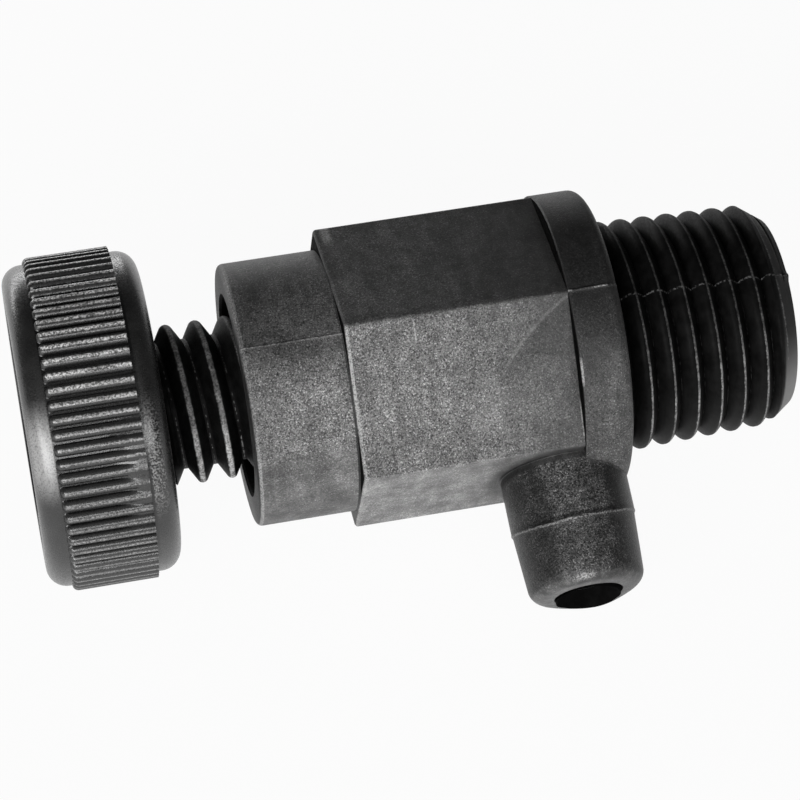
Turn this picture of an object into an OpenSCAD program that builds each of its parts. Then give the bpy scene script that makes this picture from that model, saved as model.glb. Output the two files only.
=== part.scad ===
// Manual air release valve: a moulded body with a tapered pipe-thread nipple, a hex, a neck and a drain
// spout, closed by a seal on a threaded stem that a knurled knob turns.
// The valve lies on its side. +X runs along its axis towards the nipple, and the origin is on the axis at
// the front face of the collar, where the pipe thread begins.

/* [Body] */
// Width of the hex across its flats
hex_af = 15.66; // [15.62:0.02:18]
// Length of the hex
hex_len = 12.95; // [12:0.05:18]
// Diameter of the round neck
neck_d = 15.6; // [14:0.02:15.64]
// Length of the neck
neck_len = 5.9; // [4.5:0.1:9]
// Diameter of the collar
collar_d = 18.1; // [18.1:0.1:20]
// Length of the collar
collar_len = 2.95; // [2:0.05:4]
// Rounding of the collar's front edge
collar_round = 0.6; // [0.2:0.1:1]
// Width of the neck's mouth
mouth_d = 11.8; // [11:0.1:12.6]
// Depth of the neck's mouth
mouth_depth = 1.2; // [0.8:0.1:1.6]

/* [Inlet nipple] */
// Length of the nipple
nipple_len = 10.7; // [8:0.1:16]
// Crest diameter of the taper thread at the nipple's tip
nipple_tip_d = 13.26; // [12:0.02:15]
// Pitch of the pipe thread, 18 turns to the inch
pipe_pitch = 1.411; // [1.2:0.001:1.8]
// Depth of the pipe thread
pipe_depth = 0.8; // [0.5:0.05:1]
// Bore of the nipple
inlet_bore_d = 4.8; // [3.6:0.1:5.2]

/* [Drain spout] */
// Distance of the spout's axis behind the collar's front face
spout_back = 3.8; // [3.6:0.1:5]
// Distance from the valve's axis to the spout's tip
spout_reach = 15.4; // [13:0.1:20]
// Diameter of the spout at its root
spout_d = 7.36; // [6.6:0.02:8]
// Diameter of the spout at its tip
spout_tip_d = 6.86; // [6:0.02:7]
// Rounding of the spout's tip
spout_round = 0.9; // [0.3:0.1:1]
// Reach of the moulding step round the spout
spout_step_reach = 11.3; // [10.5:0.1:12.5]
// Depth of the moulding step
spout_step = 0.05; // [0.02:0.01:0.1]
// Bore of the spout
spout_bore_d = 4; // [3:0.1:4.2]
// Distance from the valve's axis to the inner end of the spout's bore
spout_bore_floor = 5.4; // [5:0.1:7]
// Bore of the port from the chamber into the spout
port_d = 2.6; // [2:0.1:3]
// Angle of the spout below level, as the valve lies on a bench
spout_dip = 26.8; // [0:0.1:60]

/* [Seat and chamber] */
// Bore of the chamber that the seal and the stem slide in
chamber_d = 7.4; // [7:0.1:7.6]
// Length of the chamber from the seat to the stem thread
chamber_len = 11.3; // [11.1:0.1:12]
// Distance of the seat behind the collar's front face
seat_back = 1.2; // [1:0.1:1.4]
// Height of the raised lip of the seat
seat_lip = 0.3; // [0.2:0.05:0.4]
// Diameter of the raised lip of the seat
seat_lip_d = 6; // [5.6:0.1:6.4]

/* [Stem] */
// Crest diameter of the stem thread
stem_d = 9.5; // [9.3:0.05:10]
// Pitch of the stem thread
stem_pitch = 1.75; // [1.5:0.05:1.75]
// Depth of the stem thread
stem_depth = 0.97; // [0.7:0.01:0.99]
// Width of the flat on the thread's crest
stem_crest = 0.38; // [0.3:0.02:0.4]
// Turns of the knob from closed to the open rest position
turns_open = 2; // [1:0.25:2]
// Diameter of the relief between the thread and the knob
relief_d = 6; // [5.8:0.1:7]
// Length of the relief between the thread and the knob
relief_len = 0.6; // [0.4:0.1:0.9]
// Width of the square head that drives the knob
head_w = 4; // [3.4:0.1:4]
// Length of the square head
head_len = 4.4; // [3.5:0.1:5]

/* [Seal] */
// Diameter of the rubber seal washer
washer_d = 6.6; // [6.2:0.1:6.8]
// Thickness of the rubber seal washer
washer_t = 1.2; // [0.9:0.1:1.3]
// Diameter of the jumper's flange
jumper_d = 6.4; // [5.6:0.1:6.6]
// Thickness of the jumper's flange
jumper_t = 0.8; // [0.6:0.1:1]
// Diameter of the jumper's pin
jumper_pin_d = 2.4; // [2.2:0.1:2.6]
// Length of the jumper's pin up to its snap bead
jumper_pin_len = 1.8; // [1.5:0.1:2]
// Diameter of the snap bead on the pin
bead_d = 2.8; // [2.8:0.1:3.2]
// Length of the snap bead
bead_len = 0.8; // [0.6:0.1:1]
// Head diameter of the washer screw
washer_screw_head_d = 3.4; // [2.6:0.1:3.5]
// Head height of the washer screw
washer_screw_head_t = 0.7; // [0.5:0.1:0.9]
// Shank diameter of the washer screw
washer_screw_d = 1.3; // [1:0.1:1.5]
// Shank length of the washer screw in the jumper
washer_screw_grip = 1.6; // [1:0.1:2]
// Cord thickness of the O-ring
ring_cord = 1.2; // [1:0.05:1.25]
// Distance of the O-ring behind the stem's nose
ring_setback = 3.75; // [3.7:0.05:3.9]

/* [Knob] */
// Diameter of the knob over its ridges
knob_d = 19.6; // [17:0.1:24]
// Height of the ridges above the rims
ridge_h = 0.36; // [0.2:0.02:0.6]
// Number of ridges
ridges = 72; // [48:4:96]
// Length of the ridged band
band_len = 5; // [4:0.1:8]
// Width of the plain rim on the outer side
outer_rim = 1.35; // [1.3:0.05:2.5]
// Width of the plain rim on the body side
inner_rim = 1.5; // [1.4:0.05:2.5]
// Rounding of the rims
rim_round = 1.2; // [0.4:0.1:1.2]
// Gap between the knob and the neck when open
knob_gap = 4.7; // [4.2:0.1:7]
// Wall between the ridged band and the coring behind the knob
knob_wall = 1.8; // [1.4:0.1:2.5]
// Depth of the coring behind the knob
coring_depth = 3.6; // [2:0.1:4]
// Diameter of the knob's hub inside the coring
hub_d = 8.6; // [8:0.1:10]
// Number of ribs in the coring
ribs = 6; // [3:1:8]
// Thickness of the ribs
rib_t = 1; // [0.6:0.1:1.4]
// Diameter of the dish in the outer face
dish_d = 14.2; // [12:0.1:15]
// Depth of the dish in the outer face
dish_depth = 0.6; // [0.3:0.1:0.8]
// Diameter of the cap over the knob screw
cap_d = 6.6; // [6.4:0.1:8]
// Thickness of the cap
cap_t = 0.8; // [0.6:0.1:1]
// Head diameter of the knob screw
knob_screw_head_d = 4.6; // [4:0.1:5]
// Head height of the knob screw
knob_screw_head_t = 1.1; // [0.8:0.1:1.2]
// Shank diameter of the knob screw
knob_screw_d = 2.2; // [1.8:0.1:2.2]
// Shank length of the knob screw in the stem
knob_screw_grip = 5; // [3:0.1:6]

/* [Fits] */
// Clearance between the faces of the stem thread and the body's thread
thread_gap = 0.12; // [0.1:0.01:0.13]
// Clearance of the stem's plain shank in the chamber
shank_gap = 0.15; // [0.1:0.01:0.2]
// Clearance of the O-ring in its groove and in the chamber
ring_gap = 0.05; // [0.03:0.01:0.08]
// Clearance of the swivelling jumper in the stem
swivel_gap = 0.06; // [0.04:0.01:0.1]
// Clearance of the pieces that are pushed together
push_gap = 0.03; // [0.02:0.01:0.06]

/* [Hidden] */
$fn = 64;

// Room that a cutting shape takes past the face it cuts
over = 0.5;
// Facets round one turn of a thread
thread_steps = 48;
// Taper of the pipe thread on its radius, one in sixteen on the diameter
pipe_taper = 1 / 32;
// Distance over which a thread grows from its root to its full depth
pipe_fade = 0.9;
stem_fade = 0.7;
// Crest of each thread at the underside of the lying valve, which sets the start of its helix
pipe_crest_z = 0.417;
stem_crest_z = 0.21;
// Half angle of the stem thread's flanks
flank = 30;
// A screw's cross recess: its slot width, and its span and depth as a share of the head's
cross_w = 0.35;
cross_share = 0.5;

// Places along the valve's axis, the nipple's tip being positive
collar_back = -collar_len;
hex_back = collar_back - hex_len;
neck_end = hex_back - neck_len;
mouth_floor = neck_end + mouth_depth;
mouth_bend = neck_end + mouth_depth / 2;
seat_z = -seat_back;
chamber_floor = seat_z + seat_lip;
chamber_back = seat_z - chamber_len;

// The seal train as it stands open, from the washer back to the O-ring
lift = turns_open * stem_pitch;
washer_front = seat_z - lift - ring_gap;
washer_back = washer_front - washer_t;
flange_back = washer_back - jumper_t;
nose_z = flange_back - swivel_gap;
pin_end = nose_z - jumper_pin_len;
bead_end = pin_end - bead_len;
ring_z = nose_z - ring_setback;

// The stem and the knob as they stand open
knob_w = outer_rim + band_len + inner_rim;
knob_face = neck_end - knob_gap;
knob_out = knob_face - knob_w;
thread_front = chamber_back - lift - 2 * thread_gap;
thread_back = knob_face + relief_len;
head_end = knob_face - head_len;
pocket_floor = knob_out + dish_depth + cap_t + knob_screw_head_t;
screw_end = head_end + knob_screw_grip;

// Radii that follow from the sizes above
stem_root_r = stem_d / 2 - stem_depth;
shank_r = chamber_d / 2 - shank_gap;
ring_r = chamber_d / 2 - ring_gap - ring_cord / 2;
groove_r = ring_r - ring_cord / 2 - ring_gap;
groove_w = ring_cord + 8 * ring_gap;
rim_r = knob_d / 2 - ridge_h;
coring_r = rim_r - knob_wall;
pipe_root_r = nipple_tip_d / 2 - pipe_depth + nipple_len * pipe_taper;

// Laying the valve on its side: the local axis becomes +X and local +X points down
module on_axis() {
    rotate([0, 90, 0]) children();
}

// A disc or bore between two places on the axis
module turned(from, to, r) {
    translate([0, 0, from]) cylinder(r = r, h = to - from);
}

// One pitch of a V thread: places across the crest and the root with their heights from 0 to 1
function v_thread(pitch, crest, depth) =
    let (half = crest / 2, slope = depth * tan(flank))
    [[-half, 1], [half, 1], [half + slope, 0], [pitch - half - slope, 0]];

// One pitch of a moulded pipe thread with round crests and V roots
function round_thread(pitch) = [for (i = [0:5]) [i * pitch / 6, abs(cos(i * 30))]];

// A solid with a right-hand thread on it between two places, growing from its root at either end
module threaded(profile, pitch, root_r, depth, taper, from, to, fade_from, fade_to, crest_z) {
    k = len(profile);
    n = thread_steps;
    first = floor((from - crest_z) / pitch) - 1;
    rows = k * (ceil((to - from) / pitch) + 4);
    tiny = pitch / 50;
    function place(i, j) = crest_z + (first + floor(i / k) + j / n) * pitch + profile[i % k][0];
    function grow(room, length) = length > 0 ? min(1, max(0, room / length)) : 1;
    function height(i, z) = profile[i % k][1] * depth
        * grow(z - from, fade_from) * grow(to - z, fade_to);
    function spot(r, j, z) = [r * cos(360 * j / n), r * sin(360 * j / n), z];
    function root(z) = root_r - taper * z;
    function id(i, j) =
        j == n ? id(i + k, 0)
        : place(i, j) < from + tiny ? j
        : place(i, j) > to - tiny ? n + j
        : 2 * n + i * n + j;
    function sound(face) = face[0] != face[1] && face[1] != face[2] && face[2] != face[0];
    ends = [for (z = [from, to]) for (j = [0:n - 1]) spot(root(z), j, z)];
    grid = [for (i = [0:rows]) for (j = [0:n - 1])
        let (z = place(i, j)) spot(root(z) + height(i, z), j, z)];
    skin = [for (i = [0:rows - k - 1]) for (j = [0:n - 1])
        each [[id(i, j), id(i + 1, j), id(i + 1, j + 1)], [id(i, j), id(i + 1, j + 1), id(i, j + 1)]]];
    caps = [[for (j = [0:n - 1]) j], [for (j = [n - 1:-1:0]) n + j]];
    polyhedron(concat(ends, grid), concat(caps, [for (face = skin) if (sound(face)) face]));
}

// The body's thread, larger than the stem's all over by the thread clearance
module stem_tap(from, to) {
    spread = 2 * thread_gap / cos(flank) - 2 * thread_gap * tan(flank);
    threaded(v_thread(stem_pitch, stem_crest + spread, stem_depth), stem_pitch, stem_root_r + thread_gap,
        stem_depth, 0, from, to, 0, stem_fade, stem_crest_z);
}

// Outline of a disc with round edges, to be turned about the axis
module round_edge_outline(r, width, round_r) {
    square([r - round_r, width]);
    translate([0, round_r]) square([r, width - 2 * round_r]);
    for (y = [round_r, width - round_r]) translate([r - round_r, y]) circle(r = round_r);
}

// The spout's outside, standing on the valve's axis: a plain root, a step and a drawn-in tip
module spout_outside() {
    tip_r = spout_tip_d / 2;
    step_r = spout_d / 2 - spout_step;
    shoulder = spout_reach - spout_round;
    rotate_extrude() {
        square([spout_d / 2, spout_step_reach]);
        polygon([
            [0, spout_step_reach - over], [step_r, spout_step_reach - over],
            [step_r, spout_step_reach], [tip_r, shoulder], [0, shoulder]
        ]);
        square([tip_r - spout_round, spout_reach]);
        translate([tip_r - spout_round, shoulder]) circle(r = spout_round);
    }
}

// Turns a shape that stands on the axis to the spout's place and direction
module at_spout() {
    translate([0, 0, -spout_back]) rotate([0, 0, spout_dip - 90]) rotate([0, 90, 0]) children();
}

// The cross recess that a screwdriver turns
module cross_recess(head_d, head_t) {
    for (turn = [0, 90]) rotate([0, 0, turn])
        translate([-head_d * cross_share / 2, -cross_w / 2, -over])
            cube([head_d * cross_share, cross_w, over + head_t * cross_share]);
}

module valve_body() {
    color([0.16, 0.16, 0.17]) on_axis() difference() {
        union() {
            turned(neck_end, collar_back + over, neck_d / 2);
            rotate([0, 0, spout_dip - 90]) translate([0, 0, hex_back]) rotate([0, 0, 30])
                cylinder(d = hex_af / cos(30), h = hex_len, $fn = 6);
            translate([0, 0, collar_back]) rotate_extrude() {
                square([collar_d / 2, collar_len - collar_round]);
                square([collar_d / 2 - collar_round, collar_len]);
                translate([collar_d / 2 - collar_round, collar_len - collar_round]) circle(r = collar_round);
            }
            threaded(round_thread(pipe_pitch), pipe_pitch, pipe_root_r, pipe_depth, pipe_taper,
                -over, nipple_len, over + pipe_fade, pipe_fade, pipe_crest_z);
            at_spout() spout_outside();
        }
        turned(neck_end - over, mouth_bend, mouth_d / 2);
        translate([0, 0, mouth_bend])
            cylinder(d1 = mouth_d, d2 = stem_d + 6 * thread_gap, h = mouth_floor - mouth_bend);
        stem_tap((neck_end + mouth_bend) / 2, chamber_back);
        difference() {
            turned(chamber_back - over, chamber_floor, chamber_d / 2);
            turned(seat_z, chamber_floor + over, seat_lip_d / 2);
        }
        turned(seat_z - over, nipple_len + over, inlet_bore_d / 2);
        at_spout() turned(spout_bore_floor, spout_reach + over, spout_bore_d / 2);
        at_spout() turned(0, spout_bore_floor + over, port_d / 2);
    }
}

module stem() {
    color([0.1, 0.1, 0.1]) on_axis() difference() {
        union() {
            threaded(v_thread(stem_pitch, stem_crest, stem_depth), stem_pitch, stem_root_r, stem_depth, 0,
                thread_back, thread_front, stem_fade / 2, stem_fade, stem_crest_z);
            turned(thread_front - over, ring_z - groove_w / 2, shank_r);
            turned(ring_z - groove_w / 2 - over, ring_z + groove_w / 2 + over, groove_r);
            turned(ring_z + groove_w / 2, nose_z, shank_r);
            turned(knob_face, thread_back + over, relief_d / 2);
            translate([-head_w / 2, -head_w / 2, head_end]) cube([head_w, head_w, head_len + over]);
        }
        turned(pin_end - over, nose_z + over, jumper_pin_d / 2 + swivel_gap);
        turned(bead_end - swivel_gap, pin_end + swivel_gap, bead_d / 2 + swivel_gap);
        turned(head_end - over, screw_end + push_gap, knob_screw_d / 2 + push_gap);
    }
}

// The ridged band, one closed outline of round-topped ridges
module ridged_band() {
    pitch_a = 360 / ridges;
    ridge = [[-0.3, 0], [-0.2, 0.8], [-0.08, 1], [0.08, 1], [0.2, 0.8], [0.3, 0]];
    translate([0, 0, knob_out + outer_rim]) linear_extrude(band_len)
        polygon([for (i = [0:ridges - 1]) for (p = ridge)
            let (a = (i + p[0]) * pitch_a, r = rim_r + p[1] * ridge_h) [r * cos(a), r * sin(a)]]);
}

// The hollow ring behind the knob, with its ribs left standing
module knob_coring() {
    difference() {
        turned(knob_face - coring_depth, knob_face + over, coring_r);
        turned(knob_face - coring_depth - over, knob_face + 2 * over, hub_d / 2);
        for (i = [0:ribs - 1]) rotate([0, 0, i * 360 / ribs])
            translate([0, -rib_t / 2, knob_face - coring_depth - over])
                cube([rim_r, rib_t, coring_depth + over - rim_round / 2]);
    }
}

module knob() {
    socket_w = head_w + 2 * push_gap;
    color([0.14, 0.14, 0.15]) on_axis() difference() {
        union() {
            translate([0, 0, knob_out]) rotate_extrude() round_edge_outline(rim_r, knob_w, rim_round);
            ridged_band();
        }
        knob_coring();
        turned(knob_out - over, knob_out + dish_depth, dish_d / 2);
        turned(knob_out - over, pocket_floor, cap_d / 2 + push_gap);
        turned(pocket_floor - over, knob_face, knob_screw_d / 2 + push_gap);
        translate([-socket_w / 2, -socket_w / 2, head_end - push_gap])
            cube([socket_w, socket_w, head_len + push_gap + over]);
    }
}

module knob_screw() {
    color([0.72, 0.72, 0.7]) on_axis() difference() {
        union() {
            turned(pocket_floor - knob_screw_head_t, pocket_floor, knob_screw_head_d / 2);
            turned(pocket_floor - over, screw_end, knob_screw_d / 2);
        }
        translate([0, 0, pocket_floor - knob_screw_head_t])
            cross_recess(knob_screw_head_d, knob_screw_head_t);
    }
}

module knob_cap() {
    color([0.12, 0.12, 0.13]) on_axis()
        turned(knob_out + dish_depth, knob_out + dish_depth + cap_t, cap_d / 2);
}

module stem_o_ring() {
    color([0.05, 0.05, 0.05]) on_axis() translate([0, 0, ring_z]) rotate_extrude()
        translate([ring_r, 0]) circle(d = ring_cord);
}

module jumper() {
    color([0.8, 0.78, 0.7]) on_axis() difference() {
        union() {
            turned(flange_back, washer_back, jumper_d / 2);
            turned(pin_end, flange_back + over, jumper_pin_d / 2);
            turned(bead_end, pin_end, bead_d / 2);
        }
        turned(washer_back - washer_screw_grip - push_gap, washer_back + over, washer_screw_d / 2 + push_gap);
    }
}

module seal_washer() {
    color([0.06, 0.06, 0.06]) on_axis() difference() {
        turned(washer_back, washer_front, washer_d / 2);
        turned(washer_back - over, washer_front + over, washer_screw_d / 2 + push_gap);
    }
}

module washer_screw() {
    head_front = washer_front + washer_screw_head_t;
    color([0.72, 0.72, 0.7]) on_axis() difference() {
        union() {
            turned(washer_front, head_front, washer_screw_head_d / 2);
            turned(washer_back - washer_screw_grip, washer_front + over, washer_screw_d / 2);
        }
        translate([0, 0, head_front]) mirror([0, 0, 1])
            cross_recess(washer_screw_head_d, washer_screw_head_t);
    }
}

valve_body();
stem();
knob();
knob_screw();
knob_cap();
stem_o_ring();
jumper();
seal_washer();
washer_screw();
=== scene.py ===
"""A manual air release valve of black moulded plastic, lying on a pale studio floor."""
import math
from functools import cached_property

import bmesh
import bpy
import numpy as np
from mathutils import Matrix, Vector


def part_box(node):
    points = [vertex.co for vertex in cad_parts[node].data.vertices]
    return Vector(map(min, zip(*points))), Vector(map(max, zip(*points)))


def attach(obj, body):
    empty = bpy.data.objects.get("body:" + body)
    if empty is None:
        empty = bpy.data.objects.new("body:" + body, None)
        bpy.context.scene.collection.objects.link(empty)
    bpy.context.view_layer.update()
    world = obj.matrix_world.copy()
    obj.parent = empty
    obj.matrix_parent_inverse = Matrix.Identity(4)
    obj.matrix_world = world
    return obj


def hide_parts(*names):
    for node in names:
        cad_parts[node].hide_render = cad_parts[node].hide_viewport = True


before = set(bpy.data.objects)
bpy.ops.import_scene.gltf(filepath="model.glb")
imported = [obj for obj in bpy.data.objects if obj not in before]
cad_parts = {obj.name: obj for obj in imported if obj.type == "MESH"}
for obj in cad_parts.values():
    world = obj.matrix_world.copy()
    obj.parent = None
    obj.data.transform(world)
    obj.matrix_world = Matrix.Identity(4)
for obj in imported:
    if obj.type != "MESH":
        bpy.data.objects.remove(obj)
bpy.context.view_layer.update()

MM = 0.001
scene = bpy.context.scene


def span(node):
    """A node's lowest and highest corners in millimetres."""
    low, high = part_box(node)
    return low / MM, high / MM


# Sizes in millimetres, from the frame where its boxes give them
body_low, body_high = span("valve_body")
knob_low, knob_high = span("knob")
stem_low, stem_high = span("stem")
cap_low, cap_high = span("knob_cap")

NECK_END = body_low.x
NECK_R = 7.8
NECK_ROUND = 0.3
NECK_BURR = 0.05
NECK_OFFSET = 0.035
HEX_BACK = NECK_END + 5.9
HEX_HALF = 7.83
HEX_CORNER_R = 0.22
HEX_EDGE = 0.2
HEX_LEAN = 0.17
COLLAR_BACK = HEX_BACK + 12.95
COLLAR_R = body_high.z
COLLAR_EDGE = 0.08
COLLAR_ROUND = 0.6
COLLAR_BURR = 0.09
COLLAR_OFFSET = 0.02
BURR_DEG = 0.45
MOUTH_R = 5.9
MOUTH_EDGE = 0.15
MOUTH_DEPTH = 1.2
BORE_R = 2.4
BORE_EDGE = 0.3

NIPPLE_END = body_high.x
NIPPLE_TIP_R = 6.63
PIPE_PITCH = 1.411
PIPE_DEPTH = 0.8
PIPE_TAPER = 1 / 32
PIPE_CREST_X = 0.417
PIPE_BURR = 0.12
PIPE_BURR_DEG = 0.35
PIPE_OFFSET = 0.015
RUN_OUT_FROM = 0.15
RUN_OUT_LENGTH = 0.8
CHAMFER_DEPTH = 0.95
CHAMFER_SLOPE = 0.72
NUB_H = 0.3
NUB_DEG = 2.0

SPOUT_DIP = math.radians(26.8)
SPOUT_X = -3.8
SPOUT_REACH = 15.4
SPOUT_R = 3.68
SPOUT_FLARE = 0.05
SPOUT_TIP_R = 3.43
SPOUT_ROUND = 0.9
SPOUT_STEP = 11.1
SPOUT_STEP_H = 0.02
SPOUT_STEP_DROP = 0.06
SPOUT_STEP_TILT = 0.6
SPOUT_STEP_SWAY = 0.15
SPOUT_LIP_SLANT = 0.22
SPOUT_LOW_ANGLE = math.radians(20)
SPOUT_BORE_R = 2.0
SPOUT_BORE_FLOOR = 5.4
TEAR_OFFSET = (0, 0.1, -0.8)
PORT_R = 1.3

CHAMBER_R = 3.7
CHAMBER_BACK = -12.5
CHAMBER_FLOOR = -0.9
SEAT = -1.2
SEAT_LIP_R = 3.0

STEM_R = 4.75
STEM_PITCH = 1.75
STEM_DEPTH = 0.97
STEM_CREST = 0.38
STEM_CREST_X = 0.21
FLANK_ANGLE = math.radians(30)
STEM_FLANK = STEM_DEPTH * math.tan(FLANK_ANGLE)
THREAD_GAP = 0.12
THREAD_FRONT = -16.24
THREAD_LEAD_IN = 0.35
THREAD_LEAD_OUT = 0.7
RELIEF_R = 3.0
RELIEF_LENGTH = 0.1
SHANK_R = 3.55
SHANK_EDGE = 0.2
RING_X = -10.56
GROOVE_R = 2.4
GROOVE_W = 1.6
HEAD_W = 4.0
PIN_R = 1.26
PIN_END = -8.61
PIN_GAP = 0.06
BEAD_R = 1.46
BEAD_END = -9.41
SCREW_R = 1.13
SCREW_END = -25.87

KNOB_OUT = knob_low.x
KNOB_FACE = knob_high.x
RIDGE_H = 0.36
RIM_R = knob_high.z - RIDGE_H
RIM_ROUND = 1.2
RIDGES = 72
RIDGE_HALF = 0.43
SMEAR_ANGLE = math.radians(-113)
SMEAR_SPREAD = 0.32
LEFT_RIM_HIGHLIGHT_ANGLE = math.radians(-124)
BAND_FROM = KNOB_OUT + 1.35
BAND_TO = KNOB_FACE - 1.5
CORING_R = RIM_R - 1.8
CORING_DEPTH = 3.6
HUB_R = 4.3
HUB_EDGE = 0.1
RIBS = 6
RIB_T = 1.0
DISH_R = 7.1
DISH_EDGE = 0.2
DISH_DEPTH = 0.6
POCKET_R = 3.33
SCREW_HEAD_T = 1.1
POCKET_FLOOR = cap_high.x + SCREW_HEAD_T
SOCKET_W = 4.06
SOCKET_GAP = 0.03
CAP_ROUND = 0.2
CAP_EDGE = 0.1
NOTCH_HALF = 0.5
NOTCH_IN = 0.3
NOTCH_DEPTH = 0.25

OVER = 0.5
END_FADE = 0.3

# Directions round the axis: angle 0 points down, and the spout's angle is negative towards the front
SPOUT_ANGLE = SPOUT_DIP - math.pi / 2
PARTINGS = (SPOUT_DIP, SPOUT_DIP + math.pi)


# Building blocks

def towards(angle):
    """Unit vectors across the valve's axis at the given angles."""
    angle = np.asarray(angle, float)
    return np.stack([np.zeros_like(angle), np.sin(angle), -np.cos(angle)], axis=-1)


def even_angles(count):
    """Angles spread evenly round one turn."""
    return np.arange(count) * 2 * math.pi / count


def angle_gap(angle, other):
    """Signed difference of two angles, between minus pi and pi."""
    return (np.asarray(angle) - other + math.pi) % (2 * math.pi) - math.pi


def parting_angles(count):
    """Even angles with closer ones at the two mould parting lines."""
    near = np.radians([-1.6, -1.0, -0.6, -0.35, -0.15, 0.0, 0.15, 0.35, 0.6, 1.0, 1.6])
    clear = math.radians(2.2)
    kept = [a for a in even_angles(count) if all(abs(angle_gap(a, p)) > clear for p in PARTINGS)]
    extra = [(p + n) % (2 * math.pi) for p in PARTINGS for n in near]
    return np.array(sorted(kept + extra))


def far_half(angle):
    """1 on the mould half that faces away from the spout, 0 on the other, with a steep step between."""
    reach = np.cos(angle_gap(angle, SPOUT_ANGLE))
    return np.clip(0.5 - reach / 0.012, 0, 1)


def hump(gap, width):
    """A smooth rise to 1 where a gap closes."""
    return np.exp(-(gap / width) ** 2)


def flash_line(angle, width_deg):
    """A narrow hump along both parting lines."""
    return sum(hump(angle_gap(angle, p), math.radians(width_deg)) for p in PARTINGS)


def wobble(*waves):
    """A smooth uneven value from a few sine waves, each given as its phase."""
    return sum(np.sin(w * (1.0 + 0.37 * i) + 1.3 * i) for i, w in enumerate(waves)) / len(waves)


def smooth_step(value, low, high):
    """0 below low, 1 above high and a soft rise between."""
    t = np.clip((value - low) / (high - low), 0, 1)
    return t * t * (3 - 2 * t)


def arc(x, r, radius, start_deg, end_deg, steps):
    """Points of a round corner in a lathe's outline, angles counted from +X towards larger radius."""
    turn = np.radians(np.linspace(start_deg, end_deg, steps + 1))
    return [(x + radius * math.cos(t), r + radius * math.sin(t)) for t in turn]


def add_object(name, data):
    """Puts a mesh, a lamp or a camera into the scene."""
    made = bpy.data.objects.new(name, data)
    scene.collection.objects.link(made)
    return made


def new_object(name, points, faces):
    """An object in the scene from points in millimetres."""
    mesh = bpy.data.meshes.new(name)
    mesh.from_pydata([tuple(p) for p in np.asarray(points) * MM], [], faces)
    mesh.update()
    return add_object(name, mesh)


def from_rings(name, rings, wraps=True):
    """A closed solid through rings of points that run the right-hand way about its axis, or through turns
    of a helix, which don't wrap."""
    rings = np.asarray(rings)
    rows, columns = rings.shape[:2]
    steps = columns if wraps else columns - 1
    faces = []
    for row in range(0, (rows - 1) * columns, columns):
        for j in range(steps):
            k = (j + 1) % columns
            faces.append((row + j, row + k, row + columns + k, row + columns + j))
    faces.append(tuple(range(steps - 1, -1, -1)))
    faces.append(tuple((rows - 1) * columns + j for j in range(steps)))
    return new_object(name, rings.reshape(-1, 3), faces)


def lathe(name, outline, angles, bulge=None, shift=None):
    """A turned solid about the X axis; bulge and shift add to the radius and to the place along it."""
    outline = np.array(outline)
    x = outline[:, :1] + 0 * angles
    r = outline[:, 1:] + 0 * angles
    a = angles + 0 * x
    out = r + (bulge(x, a) if bulge else 0)
    points = towards(a) * out[..., None]
    points[..., 0] = x + (shift(x, a) if shift else 0)
    return from_rings(name, points)


def helix(name, stations, pitch, crest_x, x_from, x_to, end_r, radius, columns):
    """A threaded solid: stations are places across one pitch, and radius gives the surface at a station,
    x and angle. The surface runs into the plain radius end_r close to either end."""
    angles = np.append(columns, columns[0] + 2 * math.pi)
    first = math.floor((x_from - crest_x) / pitch) - 1
    turns = math.ceil((x_to - x_from) / pitch) + 4
    station = np.tile(np.asarray(stations, float), turns)[:, None]
    turn = np.repeat(first + np.arange(turns), len(stations))[:, None]
    across = turn * pitch + station
    x = np.clip(crest_x + across + angles / (2 * math.pi) * pitch, x_from, x_to)
    a = angles + 0 * x
    inside = np.clip(np.minimum(x - x_from, x_to - x) / END_FADE, 0, 1)
    out = end_r + (radius(station + 0 * x, x, a) - end_r) * inside
    points = towards(a) * out[..., None]
    points[..., 0] = x
    made = from_rings(name, points, wraps=False)
    weld(made)
    return made


def weld(piece):
    """Joins points that coincide and drops the faces that this flattens."""
    work = bmesh.new()
    work.from_mesh(piece.data)
    bmesh.ops.remove_doubles(work, verts=work.verts, dist=2e-4 * MM)
    bmesh.ops.dissolve_degenerate(work, edges=work.edges, dist=1e-4 * MM)
    work.to_mesh(piece.data)
    work.free()


def block(name, low, high):
    """A box between two corners, used only as a cutting shape or as the core of a larger solid."""
    corners = [(x, y, z) for x in (low[0], high[0]) for y in (low[1], high[1]) for z in (low[2], high[2])]
    faces = [(0, 1, 3, 2), (4, 6, 7, 5), (0, 4, 5, 1), (2, 3, 7, 6), (0, 2, 6, 4), (1, 5, 7, 3)]
    return new_object(name, corners, faces)


def bore(x_from, x_to, radius, steps=96):
    """A straight round solid on the axis."""
    return lathe("round", [(x_from, radius), (x_to, radius)], even_angles(steps))


def join(piece, added=(), cut=()):
    """Adds and cuts solids, and takes the helpers away."""
    for operation, helpers in (("UNION", added), ("DIFFERENCE", cut)):
        for helper in helpers:
            step = piece.modifiers.new("step", "BOOLEAN")
            step.operation = operation
            step.solver = "MANIFOLD"
            step.object = helper
    graph = bpy.context.evaluated_depsgraph_get()
    mesh = bpy.data.meshes.new_from_object(piece.evaluated_get(graph))
    piece.modifiers.clear()
    old = piece.data
    piece.data = mesh
    mesh.name = piece.name
    bpy.data.meshes.remove(old)
    for helper in (*added, *cut):
        data = helper.data
        bpy.data.objects.remove(helper)
        bpy.data.meshes.remove(data)
    return piece


def finish_shading(piece, angle_deg):
    """Smooth shading with true edges kept, weighted so that flats stay flat."""
    piece.data.shade_smooth()
    piece.data.set_sharp_from_angle(angle=math.radians(angle_deg))
    weighted = piece.modifiers.new("normals", "WEIGHTED_NORMAL")
    weighted.keep_sharp = True


# Thread forms

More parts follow.
